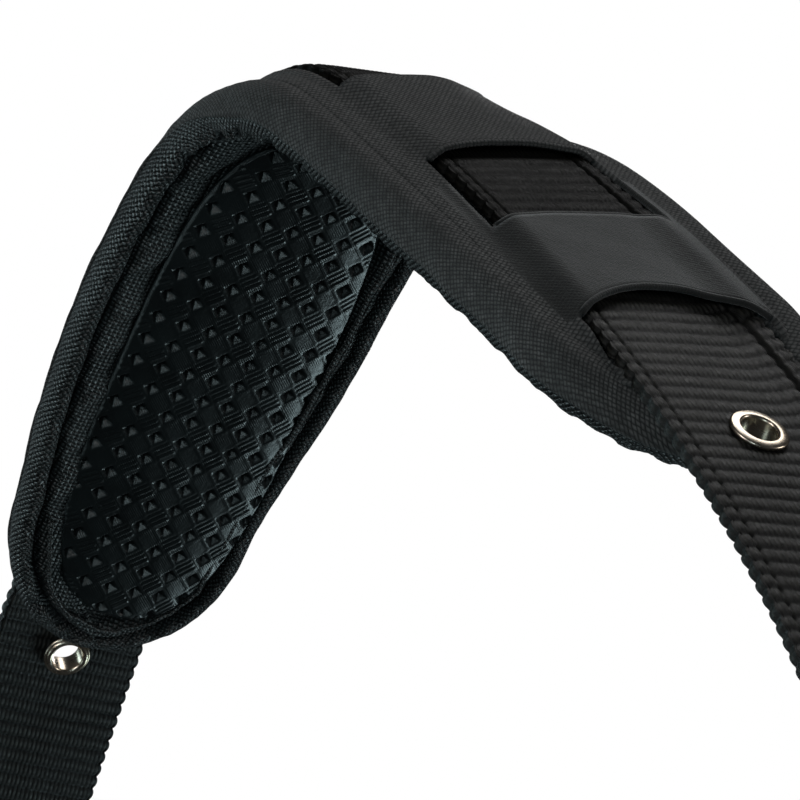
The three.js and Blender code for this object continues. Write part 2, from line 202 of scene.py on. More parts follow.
# ------------------------------------------------------------------ mesh helpers
def make_object(name, points, faces, flat, materials, smooth_shade=True):
    """points and flat are (count, 3) arrays; faces is a list of equal-sided index arrays."""
    mesh = bpy.data.meshes.new(name)
    loops = np.concatenate([f.reshape(-1) for f in faces])
    sizes = np.concatenate([np.full(len(f), f.shape[1]) for f in faces])
    mesh.vertices.add(len(points))
    mesh.vertices.foreach_set("co", points.astype(np.float32).reshape(-1))
    mesh.loops.add(len(loops))
    mesh.loops.foreach_set("vertex_index", loops.astype(np.int32))
    mesh.polygons.add(len(sizes))
    starts = np.concatenate([[0], np.cumsum(sizes)[:-1]])
    mesh.polygons.foreach_set("loop_start", starts.astype(np.int32))
    mesh.polygons.foreach_set("loop_total", sizes.astype(np.int32))
    mesh.update(calc_edges=True)
    mesh.validate()
    if smooth_shade:
        mesh.polygons.foreach_set("use_smooth", np.ones(len(sizes), bool))
    attribute = mesh.attributes.new("flat", "FLOAT_VECTOR", "POINT")
    attribute.data.foreach_set("vector", flat.astype(np.float32).reshape(-1))
    for material in materials:
        mesh.materials.append(material)
    obj = bpy.data.objects.new(name, mesh)
    bpy.context.scene.collection.objects.link(obj)
    return obj


def grid_faces(rows, columns, wrap_rows=False, wrap_columns=False):
    r = np.arange(rows if wrap_rows else rows - 1)
    c = np.arange(columns if wrap_columns else columns - 1)
    r, c = np.meshgrid(r, c, indexing="ij")
    r2, c2 = (r + 1) % rows, (c + 1) % columns
    quads = [r * columns + c, r * columns + c2, r2 * columns + c2, r2 * columns + c]
    return np.stack(quads, -1).reshape(-1, 4)


def loft(name, points, flat, material, caps=True, wrap_rows=False):
    """A closed section carried along a path: points is (rows, columns, 3) in metres."""
    rows, columns = points.shape[:2]
    faces = [grid_faces(rows, columns, wrap_rows, True)]
    if caps and not wrap_rows:
        faces.append(np.arange(columns)[None, ::-1])
        faces.append((rows - 1) * columns + np.arange(columns)[None, :])
    return make_object(name, points.reshape(-1, 3), faces, flat.reshape(-1, 3), [material])


def outward(obj):
    """Makes the faces of a closed mesh point out."""
    bm = bmesh.new()
    bm.from_mesh(obj.data)
    bmesh.ops.recalc_face_normals(bm, faces=bm.faces)
    bm.to_mesh(obj.data)
    bm.free()
    return obj


def tube(name, centres, radius, material, closed=False, sides=12):
    """A round wire along centres, (count, 3) in metres."""
    centres = np.asarray(centres, float)
    if closed:
        tangent = np.roll(centres, -1, 0) - np.roll(centres, 1, 0)
    else:
        tangent = np.gradient(centres, axis=0)
    tangent /= np.linalg.norm(tangent, axis=1)[:, None]
    normal = np.cross(tangent[0], [0.3, 0.5, 0.8])
    normals = []
    for t in tangent:
        normal = normal - t * (normal @ t)
        normal = normal / np.linalg.norm(normal)
        normals.append(normal)
    normals = np.array(normals)
    other = np.cross(tangent, normals)
    angle = np.linspace(0, 2 * math.pi, sides, endpoint=False)
    radius = np.broadcast_to(radius, len(centres))[:, None, None]
    cosine, sine = np.cos(angle)[None, :, None], np.sin(angle)[None, :, None]
    ring = normals[:, None] * cosine + other[:, None] * sine
    points = centres[:, None] + ring * radius
    length = np.concatenate([[0], np.cumsum(np.linalg.norm(np.diff(centres, axis=0), axis=1))])
    u = np.broadcast_to(length[:, None] / MM, points.shape[:2])
    v = np.broadcast_to(angle[None, :], points.shape[:2]) * radius[:, :, 0] / MM
    flat = np.stack([u, v, np.zeros_like(u)], -1)
    return outward(loft(name, points, flat, material, wrap_rows=closed))


def lathe(name, profile, seat, material, segments=64):
    """profile is a closed list of (radius, height) in mm; seat is a matrix in metres."""
    profile = np.array(profile, float)
    angle = np.linspace(0, 2 * math.pi, segments, endpoint=False)
    r, h = profile[:, 0], profile[:, 1]
    x = np.cos(angle)[:, None] * r
    y = np.sin(angle)[:, None] * r
    z = np.broadcast_to(h, x.shape)
    local = np.stack([x, y, z], -1) * MM
    turn = np.array(seat.to_3x3())
    points = local @ turn.T + np.array(seat.translation)
    flat = np.stack([angle[:, None] * r, z, np.zeros_like(z)], -1)
    return outward(loft(name, points, flat, material, wrap_rows=True))


# ------------------------------------------------------------------ materials
class Shader:
    """A node material written as arithmetic."""

    def __init__(self, name):
        self.material = bpy.data.materials.new(name)
        self.material.use_nodes = True
        self.nodes = self.material.node_tree.nodes
        self.links = self.material.node_tree.links
        self.bsdf = self.nodes["Principled BSDF"]

    def put(self, socket, value):
        if isinstance(value, bpy.types.NodeSocket):
            self.links.new(value, socket)
        else:
            socket.default_value = value

    def math(self, operation, *values, clamp=False):
        node = self.nodes.new("ShaderNodeMath")
        node.operation = operation
        node.use_clamp = clamp
        for socket, value in zip(node.inputs, values):
            self.put(socket, value)
        return node.outputs[0]

    def flat(self):
        """Where the point lies on the flat cloth, in millimetres: along and across."""
        node = self.nodes.new("ShaderNodeAttribute")
        node.attribute_name = "flat"
        split = self.nodes.new("ShaderNodeSeparateXYZ")
        self.links.new(node.outputs["Vector"], split.inputs[0])
        return split.outputs[0], split.outputs[1]

    def noise(self, scale, detail=3.0, roughness=0.5, vector=None):
        node = self.nodes.new("ShaderNodeTexNoise")
        if vector is None:
            vector = self.nodes.new("ShaderNodeTexCoord").outputs["Object"]
        self.links.new(vector, node.inputs["Vector"])
        node.inputs["Scale"].default_value = scale
        node.inputs["Detail"].default_value = detail
        node.inputs["Roughness"].default_value = roughness
        return node.outputs[0]

    def ramp(self, value, low, high, to_low=0.0, to_high=1.0):
        node = self.nodes.new("ShaderNodeMapRange")
        for socket, v in zip(node.inputs[:5], (value, low, high, to_low, to_high)):
            self.put(socket, v)
        return node.outputs[0]

    def blend(self, share, first, second):
        node = self.nodes.new("ShaderNodeMix")
        node.data_type = "RGBA"
        self.put(node.inputs[0], share)
        self.put(node.inputs[6], (*first, 1) if isinstance(first, tuple) else first)
        self.put(node.inputs[7], (*second, 1) if isinstance(second, tuple) else second)
        return node.outputs[2]

    def bump(self, height, distance, strength=1.0, below=None):
        node = self.nodes.new("ShaderNodeBump")
        node.inputs["Strength"].default_value = strength
        node.inputs["Distance"].default_value = distance
        self.links.new(height, node.inputs["Height"])
        if below is not None:
            self.links.new(below, node.inputs["Normal"])
        return node.outputs[0]

    def finish(self, color, roughness, normal=None, **constants):
        self.put(self.bsdf.inputs["Base Color"], color)
        self.put(self.bsdf.inputs["Roughness"], roughness)
        if normal is not None:
            self.links.new(normal, self.bsdf.inputs["Normal"])
        for name, value in constants.items():
            self.bsdf.inputs[name.replace("_", " ")].default_value = value
        return self.material

    def weave(self, u, v, pitch):
        """Height of a plain weave: threads over and under each other, 0 to 1."""
        u, v = self.math("DIVIDE", u, pitch), self.math("DIVIDE", v, pitch)
        cell = self.math("ADD", self.math("FLOOR", u), self.math("FLOOR", v))
        odd = self.math("PINGPONG", cell, 1.0)
        fu, fv = self.math("FRACT", u), self.math("FRACT", v)
        lump = []
        for value in (fu, fv):
            bend = self.math("SINE", self.math("MULTIPLY", value, math.pi))
            lump.append((self.math("POWER", bend, 0.7), self.math("POWER", bend, 0.25)))
        over = self.math("MULTIPLY", lump[0][0], lump[1][1])
        under = self.math("MULTIPLY", lump[0][1], lump[1][0])
        rest = self.math("SUBTRACT", 1.0, odd)
        first = self.math("MULTIPLY", over, odd)
        return self.math("ADD", first, self.math("MULTIPLY", under, rest))


def weave_material(name, pitch, dark, light, rough, depth, sheen=0.0, specular=0.5):
    shader = Shader(name)
    u, v = shader.flat()
    height = shader.weave(u, v, pitch)
    grain = shader.noise(900)
    patchy = shader.noise(60, 4)
    # Painted highlight and shade: the raised threads are painted lighter and the gaps between them
    # darker, broken up by random grain; the patches are a real uneven tone.
    glint = shader.math("MULTIPLY", height, shader.ramp(grain, 0.3, 0.7, 0.55, 1.0))
    tone = shader.math("MULTIPLY", glint, shader.ramp(patchy, 0.3, 0.7, 0.7, 1.1))
    color = shader.blend(shader.math("POWER", tone, 2.0), dark, light)
    roughness = shader.ramp(patchy, 0.2, 0.8, rough - 0.06, rough + 0.1)
    normal = shader.bump(height, depth)
    return shader.finish(color, roughness, normal, Sheen_Weight=sheen, Sheen_Roughness=0.5,
                         Specular_IOR_Level=specular)


def suede_material():
    shader = Shader("suede_cover")
    u, v = shader.flat()
    height = shader.weave(u, v, 0.5)
    nap = shader.noise(1400, 6, 0.7)
    patchy = shader.noise(140, 5, 0.65)
    both = shader.math("ADD", shader.math("MULTIPLY", height, 0.25), nap)
    worn = shader.ramp(patchy, 0.3, 0.7)
    color = shader.blend(worn, (0.0065, 0.0070, 0.0068), (0.0125, 0.0132, 0.0128))
    normal = shader.bump(both, 0.00012)
    return shader.finish(color, 0.92, normal, Sheen_Weight=0.25, Sheen_Roughness=0.5,
                         Specular_IOR_Level=0.18)


def rubber_material():
    shader = Shader("grip_rubber")
    u, v = shader.flat()
    b = shader.math("DIVIDE", shader.math("SUBTRACT", u, v), PIT_PITCH)
    fine = shader.math("SINE", shader.math("MULTIPLY", b, 2 * math.pi * FINE_LINES))
    fine = shader.math("MULTIPLY", fine, shader.ramp(shader.noise(300), 0.45, 0.6))
    grain = shader.noise(2200, 3)
    dust = shader.noise(90, 5, 0.6)
    dusty = shader.ramp(dust, 0.35, 0.7)
    color = shader.blend(dusty, (0.0022, 0.0040, 0.0044), (0.0045, 0.0080, 0.0086))
    height = shader.math("ADD", shader.math("MULTIPLY", fine, 0.25), grain)
    normal = shader.bump(height, 0.00004)
    roughness = shader.ramp(dust, 0.25, 0.75, 0.28, 0.42)
    return shader.finish(color, roughness, normal, Specular_IOR_Level=0.42)


def webbing_material(name, light, specular):
    shader = Shader(name)
    u, v = shader.flat()
    yarn = shader.math("FRACT", shader.math("DIVIDE", v, YARN_PITCH))
    yarn = shader.math("SINE", shader.math("MULTIPLY", yarn, math.pi))
    rib = shader.math("FRACT", shader.math("DIVIDE", u, RIB_PITCH))
    rib = shader.math("SINE", shader.math("MULTIPLY", rib, math.pi))
    strands = shader.math("SINE", shader.math("ADD", shader.math("MULTIPLY", v, 55.0),
                                              shader.math("MULTIPLY", u, 5.0)))
    grain = shader.noise(1500, 4)
    patchy = shader.noise(80, 4)
    # Painted highlight and shade: the crests of the yarns and ribs are painted lighter and the
    # hollows between them darker; the patches are a real uneven tone.
    lump = shader.math("MULTIPLY", shader.math("POWER", yarn, 0.8), shader.math("POWER", rib, 0.6))
    crest = shader.math("POWER", lump, 2.5)
    share = shader.math("MULTIPLY", crest, shader.ramp(patchy, 0.3, 0.7, 0.5, 1))
    color = shader.blend(share, (0.0012, 0.0012, 0.0009), light)
    height = shader.math("ADD", shader.math("MULTIPLY", strands, 0.35), grain)
    normal = shader.bump(height, 0.00004)
    return shader.finish(color, shader.ramp(grain, 0.3, 0.7, 0.40, 0.58), normal,
                         Specular_IOR_Level=specular)


def metal_material(name, dark, light, rough):
    shader = Shader(name)
    smudge = shader.noise(220, 5, 0.6)
    scratch = shader.noise(3000, 2)
    color = shader.blend(shader.ramp(smudge, 0.3, 0.75), dark, light)
    roughness = shader.ramp(smudge, 0.3, 0.7, rough, rough + 0.14)
    return shader.finish(color, roughness, shader.bump(scratch, 0.000006), Metallic=1.0)


def floor_material():
    shader = Shader("pale_floor")
    soft = shader.noise(3, 2)
    color = shader.blend(shader.ramp(soft, 0.3, 0.7), (0.60, 0.60, 0.60), (0.64, 0.64, 0.64))
    # The floor glows a little by itself, since it lies far below the small lamps.
    return shader.finish(color, 0.8, Emission_Color=(0.80, 0.80, 0.79, 1), Emission_Strength=0.85)


BALLISTIC = weave_material("ballistic_binding", WEAVE_PITCH, (0.0012, 0.0020, 0.0021),
                           (0.050, 0.060, 0.061), 0.42, 0.00042, specular=0.45)
COVER = weave_material("cover_weave", 0.66, (0.020, 0.0205, 0.0205), (0.112, 0.113, 0.111), 0.8,
                       0.00016, sheen=0.05, specular=0.18)
SUEDE = suede_material()
RUBBER = rubber_material()
WEBBING = webbing_material("ribbed_webbing", (0.024, 0.0226, 0.0188), 0.26)
# A darker, less shiny copy of the same webbing for the strap threaded through the pad: painted
# shade for the strap that lies inside the pad and shows in its windows.
PAINTED_SHADE_WEBBING = webbing_material("shaded_webbing", (0.0095, 0.0090, 0.0074), 0.08)
NICKEL = metal_material("warm_nickel", (0.30, 0.235, 0.165), (0.60, 0.54, 0.46), 0.20)
STEEL = metal_material("ring_steel", (0.52, 0.50, 0.47), (0.74, 0.73, 0.71), 0.16)


# ------------------------------------------------------------------ pad
def pad_body():
    """Foam with the inner lining, a closed form under the cover and inside the edge roll."""
    s = np.concatenate([np.linspace(-103.2, -80, 70)[:-1], np.linspace(-80, 80, 320)[:-1],
                        np.linspace(80, 103.2, 70)])
    half = np.maximum(pad_half_width(s * 106 / 103.2) - 2.9, 1.5)
    across_top = np.linspace(1, -1, 26)
    across_bottom = np.linspace(-1, 1, 130)
    t = np.concatenate([across_top, [-1.0], across_bottom, [1.0]])
    top = np.full(26, -1.35)
    level = np.concatenate([top, [-4.5], np.full(130, 0.0), [-4.5]])
    ss, tt = np.meshgrid(s, t, indexing="ij")
    x = tt * half[:, None] + pad_centre(s)[:, None]
    n = np.broadcast_to(level, x.shape).copy()
    under = np.zeros(len(t), bool)
    under[27:157] = True
    edge = (1 - np.abs(tt)) * half[:, None]           # distance from the groove
    bulge = 0.85 * np.sin(np.clip(edge / 6.0, 0, 1) * math.pi) ** 0.8
    crowding = 0.5 + 0.5 * np.exp(-(((ss - 6) / 24) ** 2))
    crease = crowding * wobble(ss + 1.1 * x, 11, 2.6) * (1 - smooth(edge, 5, 9))
    dip = 0.9 * (1 - smooth(edge, 0, 1.6))
    gap = 0.9 * smooth(edge, 2.6, 3.1) * (1 - smooth(edge, 5, 6.5)) * smooth(x, 6, 12)
    inner = -7.9 - bulge + 0.75 * crease + dip + gap
    n = np.where(under[None, :], inner, n)
    flat = np.stack([ss, x, n], -1)
    obj = loft("pad_body", place(ss, x, n), flat, BALLISTIC)
    return outward(obj)


def outline(count):
    """The pad's rim as count equal steps: points (s, x) and the inward direction."""
    angle = np.linspace(0, 2 * math.pi, 6000, endpoint=False)
    wave = np.sin(angle)
    s = PAD_HALF_LENGTH * wave * (1.12 - 0.12 * wave**2)
    s = np.clip(s, -PAD_HALF_LENGTH, PAD_HALF_LENGTH)
    x = np.sign(np.cos(angle)) * pad_half_width(s) + pad_centre(s)
    loop = np.stack([s, x], -1)
    steps = np.linalg.norm(np.roll(loop, -1, 0) - loop, axis=1)
    reach = np.concatenate([[0], np.cumsum(steps)])
    at = np.linspace(0, reach[-1], count, endpoint=False)
    closed = np.vstack([loop, loop[:1]])
    points = np.stack([np.interp(at, reach, closed[:, k]) for k in range(2)], -1)
    for _ in range(6):
        points = (np.roll(points, 1, 0) + 2 * points + np.roll(points, -1, 0)) / 4
    tangent = np.roll(points, -1, 0) - np.roll(points, 1, 0)
    tangent /= np.linalg.norm(tangent, axis=1)[:, None]
    inward = np.stack([tangent[:, 1], -tangent[:, 0]], -1)
    if (inward * -points).sum(1).mean() < 0:
        inward = -inward
    return points, inward, at


def smooth_loop(knots, size):
    """A closed section through the knots, as evenly spaced points."""
    loop = np.vstack([knots, knots[:1]])
    steps = np.concatenate([[0], np.cumsum(np.linalg.norm(np.diff(loop, axis=0), axis=1))])
    at = np.linspace(0, steps[-1], size, endpoint=False)
    section = np.stack([np.interp(at, steps, loop[:, k]) for k in range(2)], -1)
    for _ in range(3):
        section = (np.roll(section, 1, 0) + 2 * section + np.roll(section, -1, 0)) / 4
    return section


def edge_roll():
    """The coarse woven binding rolled round the pad's rim."""
    points, inward, reach = outline(960)
    # Section: distance inwards from the rim, and height.
    knots = np.array([
        [5.4, -3.0], [5.2, -1.9], [4.4, -1.2], [3.2, -1.05], [2.0, -1.45], [1.0, -2.4], [0.3, -3.7],
        [0.0, -5.2], [0.1, -6.6], [0.6, -7.8], [1.4, -8.7], [2.2, -9.1], [2.9, -8.9], [3.3, -8.1],
        [3.6, -6.8], [4.6, -4.6]])
    section = smooth_loop(knots, 56)
    at = np.concatenate([[0], np.cumsum(np.linalg.norm(np.diff(section, axis=0), axis=1))])
    inset, height = section[:, 0], section[:, 1]
    s0 = points[:, 0]
    crown = np.exp(-(((s0 - FOLD_AT) / 26) ** 2))
    end = smooth(np.abs(s0), 92, 103)
    # Low under the webbing at the two ends.
    height = height[None, :] - end[:, None] * smooth(height, -4, -1)[None, :] * 0.7
    inset = np.broadcast_to(inset, height.shape)
    # Puckers pulled in by the seam on the inner face, deepest where the fold crowds it.
    facing = smooth(-section[:, 1], 3.0, 8.5) * smooth(section[:, 0], -0.2, 2.6)
    slanted = reach[:, None] * 1.3 + 3 * section[:, 0]
    pull = wobble(reach, 5, 1.45)[:, None] + 0.6 * wobble(slanted, 6, 1.1)
    amount = (0.45 + 1.0 * crown + 0.25 * end)[:, None]
    dent = amount * np.maximum(pull, -0.6) * facing[None, :]
    height = height + 0.8 * dent
    outer = smooth(section[:, 1], -4, 0) * smooth(section[:, 0], 0, 4)
    height = height + 0.12 * wobble(reach, 9, 2.2)[:, None] * outer[None, :]
    inset = inset + 0.10 * wobble(reach[:, None] + 2 * section[:, 1], 12, 2.4)
    s = points[:, 0][:, None] + inward[:, 0][:, None] * inset
    x = points[:, 1][:, None] + inward[:, 1][:, None] * inset
    girth = np.broadcast_to(at, s.shape)
    along = np.broadcast_to(reach[:, None], s.shape)
    turned = (along + girth) / math.sqrt(2), (along - girth) / math.sqrt(2)
    flat = np.stack([turned[0], turned[1], np.zeros_like(s)], -1)
    obj = loft("edge_roll", place(s, x, height), flat, BALLISTIC, wrap_rows=True)
    return outward(obj)


# ------------------------------------------------------------------ cover
def cover_height(s, x):
    """Top of the cover: over the webbing in the middle, sewn down beside it."""
    from_webbing = np.abs(x - webbing_centre(s))
    over = 1 - smooth(from_webbing, 11.0, 16.5)
    return -0.3 + 2.3 * over


def cover_rows():
    """Rows along one half: s at the middle and, for the lips, how far the sides lag."""
    rows = []
    inner_from, inner_to = INNER_BRIDGE
    end_from, end_to = END_BRIDGE
    for a, b, count, lag_a, lag_b, kind in (
        (0, inner_from, 20, 0, 0.0, "window"), (inner_from, inner_to, 22, 0.0, 2.0, "bridge"),
        (inner_to, end_from, 14, 2.0, 1.5, "window"), (end_from, end_to, 20, 1.5, 6.0, "bridge"),
        (end_to, 95, 12, 6.0, 3.0, "window"),
    ):
        for i in range(count):
            t = i / count
            rows.append((a + (b - a) * t, lag_a + (lag_b - lag_a) * t, kind))
    rows.append((95, 3.0, "window"))
    return rows


def outer_cover():
    half = cover_rows()
    middle = [(-s, -lag, kind) for s, lag, kind in half[:0:-1]] + half
    kinds = [kind for _, _, kind in half[-2::-1]] + [kind for _, _, kind in half[:-1]]
    s0 = np.array([m[0] for m in middle], float)
    lag = np.array([m[1] for m in middle], float)
    inner = np.linspace(-1, 1, 45)
    rail = np.linspace(0, 1, 9)[1:]
    t = np.concatenate([-1 - rail[::-1], inner, 1 + rail])
    outer_edge = np.maximum(pad_half_width(s0) - 4.4, WINDOW_HALF_WIDTH * 0.6)
    slot = np.minimum(WINDOW_HALF_WIDTH, outer_edge - 0.6)
    tt = t[None, :]
    inside = np.clip(np.abs(tt), 0, 1) * slot[:, None]
    beyond = np.clip(np.abs(tt) - 1, 0, 1) * (outer_edge - slot)[:, None]
    centre = 0.6 * webbing_centre(s0) + pad_centre(s0)
    x = np.sign(tt) * (inside + beyond) + centre[:, None] * (1 - np.clip(np.abs(tt) - 1, 0, 1)) \
        + pad_centre(s0)[:, None] * np.clip(np.abs(tt) - 1, 0, 1)
    lagging = np.where(tt > 0, 1.35, 0.92) * np.clip(np.abs(tt), 0, 1) ** 2.4
    s = s0[:, None] + lag[:, None] * lagging
    n = cover_height(s, x)
    # Lips over the windows and slots stand up off the webbing.
    reach = np.abs(s0)
    lips = (INNER_BRIDGE[1], 0.7, 6), (END_BRIDGE[1], 0.8, 7), (INNER_BRIDGE[0], 0.4, 5)
    for lip, rise, width in lips:
        near = np.exp(-np.abs(reach - lip) / width)[:, None]
        n = n + rise * near * np.clip(1 - np.abs(tt) ** 2.5, 0, 1)
    edge = (1 - np.clip(np.abs(tt) - 1, 0, 1)) * (outer_edge - slot)[:, None]
    loose = 0.10 * wobble(s + 0.7 * x, 21, 6) + 0.07 * wobble(x - 0.4 * s, 22, 2.8)
    n = n + loose * smooth(edge, 0, 3)
    n = np.where(np.abs(tt) > 1, n - 0.38 * (1 - smooth(edge, 0, 2.4)), n)
    n = n - 1.9 * smooth(np.abs(s), 86, 94)
    rows, columns = s.shape
    quads = grid_faces(rows, columns)
    row = quads[:, 0] // columns
    column = quads[:, 0] % columns
    open_row = np.array([kind == "window" for kind in kinds])[row]
    hole = open_row & (column >= 8) & (column < 8 + 44)
    points = place(s, x, n).reshape(-1, 3)
    flat = np.stack([s, x, n], -1).reshape(-1, 3)
    turned = flat.copy()
    turned[:, 0] = (flat[:, 0] + flat[:, 1]) / 1.414
    turned[:, 1] = (flat[:, 0] - flat[:, 1]) / 1.414
    kept = quads[~hole]
    used = np.unique(kept)
    index = np.full(len(points), -1)
    index[used] = np.arange(len(used))
    cloths = [COVER, SUEDE]
    obj = make_object("outer_cover_panel", points[used], [index[kept]], turned[used], cloths)
    # The end bridges are a smooth suede; the rest of the panel is woven.
    middle_s = s.reshape(-1)[kept].mean(1)
    middle_t = np.abs(np.broadcast_to(tt, s.shape).reshape(-1)[kept]).mean(1)
    suede = (np.abs(middle_s) > INNER_BRIDGE[1] + 8) & (middle_t < 1.55) & (np.abs(middle_s) < 84)
    obj.data.polygons.foreach_set("material_index", suede.astype(np.int32))
    solid = obj.modifiers.new("thickness", "SOLIDIFY")
    solid.thickness = 0.8 * MM
    solid.offset = -1
    solid.use_rim = True
    lines = {"s": s, "x": x, "n": n}
    return obj, lines, s0


def cover_wrap():
    """The cover's edge, carried round the rim to the seam with the binding."""
    points, inward, reach = outline(960)
    knots = np.array([
        [7.2, -1.5], [5.8, -0.95], [4.4, -0.70], [3.0, -0.66], [1.7, -1.10], [0.6, -2.2],
        [-0.15, -3.6], [-0.5, -5.2], [-0.45, -6.5], [0.1, -6.9], [0.6, -5.2], [1.2, -3.4],
        [2.4, -1.9], [4.0, -1.35], [5.8, -1.6], [7.0, -1.9]])
    section = smooth_loop(knots, 48)
    inset, height = section[:, 0], section[:, 1]
    end = smooth(np.abs(points[:, 0]), 92, 103)
    height = height[None, :] - end[:, None] * smooth(height, -4, -1)[None, :] * 0.7
    swell = 0.16 * wobble(reach[:, None] + 2 * section[:, 1], 12, 2.8)
    far = smooth(points[:, 0], -4, 22)[:, None]
    side_wall = smooth(-section[:, 1], 1.5, 4)
    inset = inset + swell * side_wall + 0.7 * far * smooth(-section[:, 1], 1.3, 3)
    height = height + 0.10 * wobble(reach, 9, 3.2)[:, None] * side_wall
    # On the far half it stops above the rim's middle, so that the binding shows there.
    height = height - 0.8 * far * np.minimum(height + 2.2, 0)
    s = points[:, 0][:, None] + inward[:, 0][:, None] * inset
    x = points[:, 1][:, None] + inward[:, 1][:, None] * inset
    girth = np.sign(x) * np.maximum(-1 - height, 0)
    flat = np.stack([(s + x + girth) / 1.414, (s - x - girth) / 1.414, height], -1)
    obj = loft("cover_wrap", place(s, x, height), flat, COVER, wrap_rows=True)
    return outward(obj)


def lip_line(lines, rows, at):
    """The cover's line across the strap at s = at, from one side of the webbing to the other."""
    row = np.argmin(np.abs(rows - at))
    inner = slice(9, 9 + 43)
    s, x, n = (lines[axis][row, inner] for axis in "sxn")
    return s, x, n - 0.42


def cover_trims(lines, rows):
    """Folded hems on the lips of the windows and slots."""
    lips = (("crown", INNER_BRIDGE[0], COVER), ("window", INNER_BRIDGE[1], COVER),
            ("bridge", END_BRIDGE[0], SUEDE), ("slot", END_BRIDGE[1], SUEDE))
    made = []
    for side_name, side in (("far", 1), ("near", -1)):
        for label, at, material in lips:
            line = place(*lip_line(lines, rows, side * at))
            hem = tube(f"{side_name}_{label}_hem", line, 0.5 * MM, material, sides=10)
            made.append((hem, "cover"))
    return made


def binding_edge():
    """The wavy folded edge of the binding on the pad's inner face."""
    points, inward, reach = outline(1400)
    wave = 0.75 * wobble(reach, 41, 3.1) + 0.25 * wobble(reach, 42, 1.2)
    inset = 5.6 + 0.5 * wave
    s = points[:, 0] + inward[:, 0] * inset
    x = points[:, 1] + inward[:, 1] * inset
    n = -9.0 + 0.2 * wobble(reach, 43, 2.0)
    shown = ~((x < 0) & (np.abs(s) < 82))
    first = np.argmax(shown & ~np.roll(shown, 1))
    order = np.roll(np.arange(len(s)), -first)
    order = order[shown[order]]
    line = place(s[order], x[order], n[order])
    return tube("binding_edge", line, 0.42 * MM, BALLISTIC, sides=8)


# ------------------------------------------------------------------ grip patches
def patch_half_width(s):
    u = np.clip(np.abs((s - PATCH_MIDDLE) / PATCH_HALF_LENGTH), 0, 1)
    return PATCH_HALF_WIDTH * (1 - u**3) ** (1 / 3)


def grip_relief(s, x):
    """Depth of the moulded pattern: square pits between ribbed and plain blocks."""
    a, b = (s + x) / PIT_PITCH, (s - x) / PIT_PITCH + 100
    i, j = np.floor(a), np.floor(b)
    fa, fb = a - i - 0.5, b - j - 0.5
    odd_a, odd_b = np.mod(i, 2) > 0.5, np.mod(j, 2) > 0.5
    reach = np.maximum(np.abs(fa), np.abs(fb)) * 2

    def pit(low_a, low_b, half, depth):
        slopes = [(half - fa) / (half - low_a), (half + fa) / (half + low_a),
                  (half - fb) / (half - low_b), (half + fb) / (half + low_b)]
        return -depth * np.clip(np.minimum.reduce(slopes), 0, 0.92)

    flush = 1 - smooth(reach, 0.82, 1)
    ridges = (0.10 * np.cos(2 * math.pi * 3.5 * fa) + 0.18 * fa + 0.05) * flush
    plain = (0.14 * fb + 0.02 * np.cos(2 * math.pi * 8 * fb)) * flush
    square = pit(-0.07, -0.04, 0.36, 1.15)
    roof = pit(-0.07, -0.09, 0.35, 1.15)
    pits = np.where(odd_a, square, roof)
    blocks = np.where(odd_a, plain, ridges)
    return np.where(odd_a == odd_b, pits, blocks)


def grip_patch(name, side):
    first, last = PATCH_MIDDLE - 46.8, PATCH_MIDDLE + 46.8
    reach = PATCH_MIDDLE - 46.8 * np.cos(np.linspace(0, math.pi, 480))
    reach = 0.35 * reach + 0.65 * np.linspace(first, last, 480)
    half = np.maximum(patch_half_width(reach), 1.0)
    t = np.linspace(-1, 1, 156)
    section = np.concatenate([t, [1.0, 0.98, -0.98, -1.0]])
    s = side * np.broadcast_to(reach[:, None], (len(reach), len(section)))
    centre = 0.2 + 0.045 * (reach - 25)
    x = centre[:, None] + section[None, :] * half[:, None]
    edge = np.minimum((1 - np.abs(section))[None, :] * half[:, None],
                      np.minimum(reach - first, last - reach)[:, None])
    rim = smooth(edge, 0.1, 1.0)
    relief = grip_relief(np.abs(s), x)
    across = section[None, :] * np.ones_like(x)
    n = -(10.3 + relief * rim - 0.35 * (1 - smooth(edge, 0, 0.5))) + 1.6 * np.abs(across) ** 3
    low = np.zeros(len(section), bool)
    low[156:] = True
    n = np.where(low[None, :], -8.0, n)
    flat = np.stack([s, x, n], -1)
    return outward(loft(name, place(s, x, n), flat, RUBBER))


# ------------------------------------------------------------------ webbing
def webbing_section():
    """Columns round the webbing: across x from -1 to 1, and which face."""
    across = np.linspace(-1, 1, 133)
    side = np.linspace(0, 1, 9)[1:-1]
    x = np.concatenate([across, np.ones(7), across[::-1], -np.ones(7)])
    level = np.concatenate([np.ones(133), 1 - 2 * side, -np.ones(133), 2 * side - 1])
    return x, level


